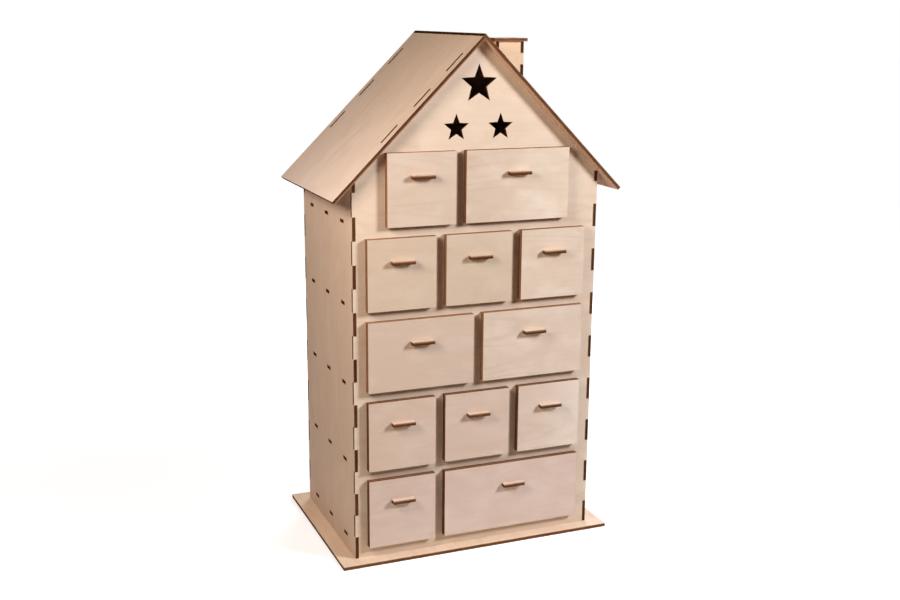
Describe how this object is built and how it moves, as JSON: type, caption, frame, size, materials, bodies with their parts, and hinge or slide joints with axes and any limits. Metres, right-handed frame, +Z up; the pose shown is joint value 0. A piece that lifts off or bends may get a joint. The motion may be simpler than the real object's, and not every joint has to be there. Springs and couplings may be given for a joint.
{
  "type": "advent calendar",
  "caption": "Two-sided advent calendar shaped as a gabled plywood house with finger-jointed walls, a chimney, star cut-outs and sliding drawers with tab handles.",
  "frame": {"origin": "middle of the base's underside, on the surface the house stands on", "axes": "+Z up to the ridge, -Y out of the front with the pictured drawers, +X to the right seen from the front"},
  "size_m": [0.2626, 0.172, 0.449],
  "materials": {
    "house_plywood": "bare light plywood with laser-browned edges",
    "drawer_plywood": "bare light plywood with laser-browned edges"
  },
  "bodies": {
    "house": {"base_plate": "house_plywood", "front_wall": "house_plywood", "back_wall": "house_plywood", "left_wall": "house_plywood", "right_wall": "house_plywood", "shelf_1": "house_plywood", "shelf_2": "house_plywood", "shelf_3": "house_plywood", "shelf_4": "house_plywood", "shelf_5": "house_plywood", "middle_wall_1": "house_plywood", "middle_wall_2": "house_plywood", "middle_wall_3": "house_plywood", "middle_wall_4": "house_plywood", "middle_wall_5": "house_plywood", "divider_1_1": "house_plywood", "divider_2_1": "house_plywood", "divider_2_2": "house_plywood", "divider_3_1": "house_plywood", "divider_4_1": "house_plywood", "divider_4_2": "house_plywood", "divider_5_1": "house_plywood", "left_roof": "house_plywood", "right_roof": "house_plywood", "chimney_front": "house_plywood", "chimney_back": "house_plywood", "chimney_left": "house_plywood", "chimney_right": "house_plywood", "chimney_cap": "house_plywood"},
    "front_drawer_1_1": {"front_drawer_1_1": "drawer_plywood"},
    "back_drawer_1_1": {"back_drawer_1_1": "drawer_plywood"},
    "front_drawer_1_2": {"front_drawer_1_2": "drawer_plywood"},
    "back_drawer_1_2": {"back_drawer_1_2": "drawer_plywood"},
    "front_drawer_2_1": {"front_drawer_2_1": "drawer_plywood"},
    "back_drawer_2_1": {"back_drawer_2_1": "drawer_plywood"},
    "front_drawer_2_2": {"front_drawer_2_2": "drawer_plywood"},
    "back_drawer_2_2": {"back_drawer_2_2": "drawer_plywood"},
    "front_drawer_2_3": {"front_drawer_2_3": "drawer_plywood"},
    "back_drawer_2_3": {"back_drawer_2_3": "drawer_plywood"},
    "front_drawer_3_1": {"front_drawer_3_1": "drawer_plywood"},
    "back_drawer_3_1": {"back_drawer_3_1": "drawer_plywood"},
    "front_drawer_3_2": {"front_drawer_3_2": "drawer_plywood"},
    "back_drawer_3_2": {"back_drawer_3_2": "drawer_plywood"},
    "front_drawer_4_1": {"front_drawer_4_1": "drawer_plywood"},
    "back_drawer_4_1": {"back_drawer_4_1": "drawer_plywood"},
    "front_drawer_4_2": {"front_drawer_4_2": "drawer_plywood"},
    "back_drawer_4_2": {"back_drawer_4_2": "drawer_plywood"},
    "front_drawer_4_3": {"front_drawer_4_3": "drawer_plywood"},
    "back_drawer_4_3": {"back_drawer_4_3": "drawer_plywood"},
    "front_drawer_5_1": {"front_drawer_5_1": "drawer_plywood"},
    "back_drawer_5_1": {"back_drawer_5_1": "drawer_plywood"},
    "front_drawer_5_2": {"front_drawer_5_2": "drawer_plywood"},
    "back_drawer_5_2": {"back_drawer_5_2": "drawer_plywood"}
  },
  "joints": [
    {"name": "front_drawer_1_1_slide", "type": "slide", "parent": "house", "child": "front_drawer_1_1", "axis": [0, -1, 0], "range_m": [0, 0.058]},
    {"name": "back_drawer_1_1_slide", "type": "slide", "parent": "house", "child": "back_drawer_1_1", "axis": [0, 1, 0], "range_m": [0, 0.058]},
    {"name": "front_drawer_1_2_slide", "type": "slide", "parent": "house", "child": "front_drawer_1_2", "axis": [0, -1, 0], "range_m": [0, 0.058]},
    {"name": "back_drawer_1_2_slide", "type": "slide", "parent": "house", "child": "back_drawer_1_2", "axis": [0, 1, 0], "range_m": [0, 0.058]},
    {"name": "front_drawer_2_1_slide", "type": "slide", "parent": "house", "child": "front_drawer_2_1", "axis": [0, -1, 0], "range_m": [0, 0.058]},
    {"name": "back_drawer_2_1_slide", "type": "slide", "parent": "house", "child": "back_drawer_2_1", "axis": [0, 1, 0], "range_m": [0, 0.058]},
    {"name": "front_drawer_2_2_slide", "type": "slide", "parent": "house", "child": "front_drawer_2_2", "axis": [0, -1, 0], "range_m": [0, 0.058]},
    {"name": "back_drawer_2_2_slide", "type": "slide", "parent": "house", "child": "back_drawer_2_2", "axis": [0, 1, 0], "range_m": [0, 0.058]},
    {"name": "front_drawer_2_3_slide", "type": "slide", "parent": "house", "child": "front_drawer_2_3", "axis": [0, -1, 0], "range_m": [0, 0.058]},
    {"name": "back_drawer_2_3_slide", "type": "slide", "parent": "house", "child": "back_drawer_2_3", "axis": [0, 1, 0], "range_m": [0, 0.058]},
    {"name": "front_drawer_3_1_slide", "type": "slide", "parent": "house", "child": "front_drawer_3_1", "axis": [0, -1, 0], "range_m": [0, 0.058]},
    {"name": "back_drawer_3_1_slide", "type": "slide", "parent": "house", "child": "back_drawer_3_1", "axis": [0, 1, 0], "range_m": [0, 0.058]},
    {"name": "front_drawer_3_2_slide", "type": "slide", "parent": "house", "child": "front_drawer_3_2", "axis": [0, -1, 0], "range_m": [0, 0.058]},
    {"name": "back_drawer_3_2_slide", "type": "slide", "parent": "house", "child": "back_drawer_3_2", "axis": [0, 1, 0], "range_m": [0, 0.058]},
    {"name": "front_drawer_4_1_slide", "type": "slide", "parent": "house", "child": "front_drawer_4_1", "axis": [0, -1, 0], "range_m": [0, 0.058]},
    {"name": "back_drawer_4_1_slide", "type": "slide", "parent": "house", "child": "back_drawer_4_1", "axis": [0, 1, 0], "range_m": [0, 0.058]},
    {"name": "front_drawer_4_2_slide", "type": "slide", "parent": "house", "child": "front_drawer_4_2", "axis": [0, -1, 0], "range_m": [0, 0.058]},
    {"name": "back_drawer_4_2_slide", "type": "slide", "parent": "house", "child": "back_drawer_4_2", "axis": [0, 1, 0], "range_m": [0, 0.058]},
    {"name": "front_drawer_4_3_slide", "type": "slide", "parent": "house", "child": "front_drawer_4_3", "axis": [0, -1, 0], "range_m": [0, 0.058]},
    {"name": "back_drawer_4_3_slide", "type": "slide", "parent": "house", "child": "back_drawer_4_3", "axis": [0, 1, 0], "range_m": [0, 0.058]},
    {"name": "front_drawer_5_1_slide", "type": "slide", "parent": "house", "child": "front_drawer_5_1", "axis": [0, -1, 0], "range_m": [0, 0.058]},
    {"name": "back_drawer_5_1_slide", "type": "slide", "parent": "house", "child": "back_drawer_5_1", "axis": [0, 1, 0], "range_m": [0, 0.058]},
    {"name": "front_drawer_5_2_slide", "type": "slide", "parent": "house", "child": "front_drawer_5_2", "axis": [0, -1, 0], "range_m": [0, 0.058]},
    {"name": "back_drawer_5_2_slide", "type": "slide", "parent": "house", "child": "back_drawer_5_2", "axis": [0, 1, 0], "range_m": [0, 0.058]}
  ]
}
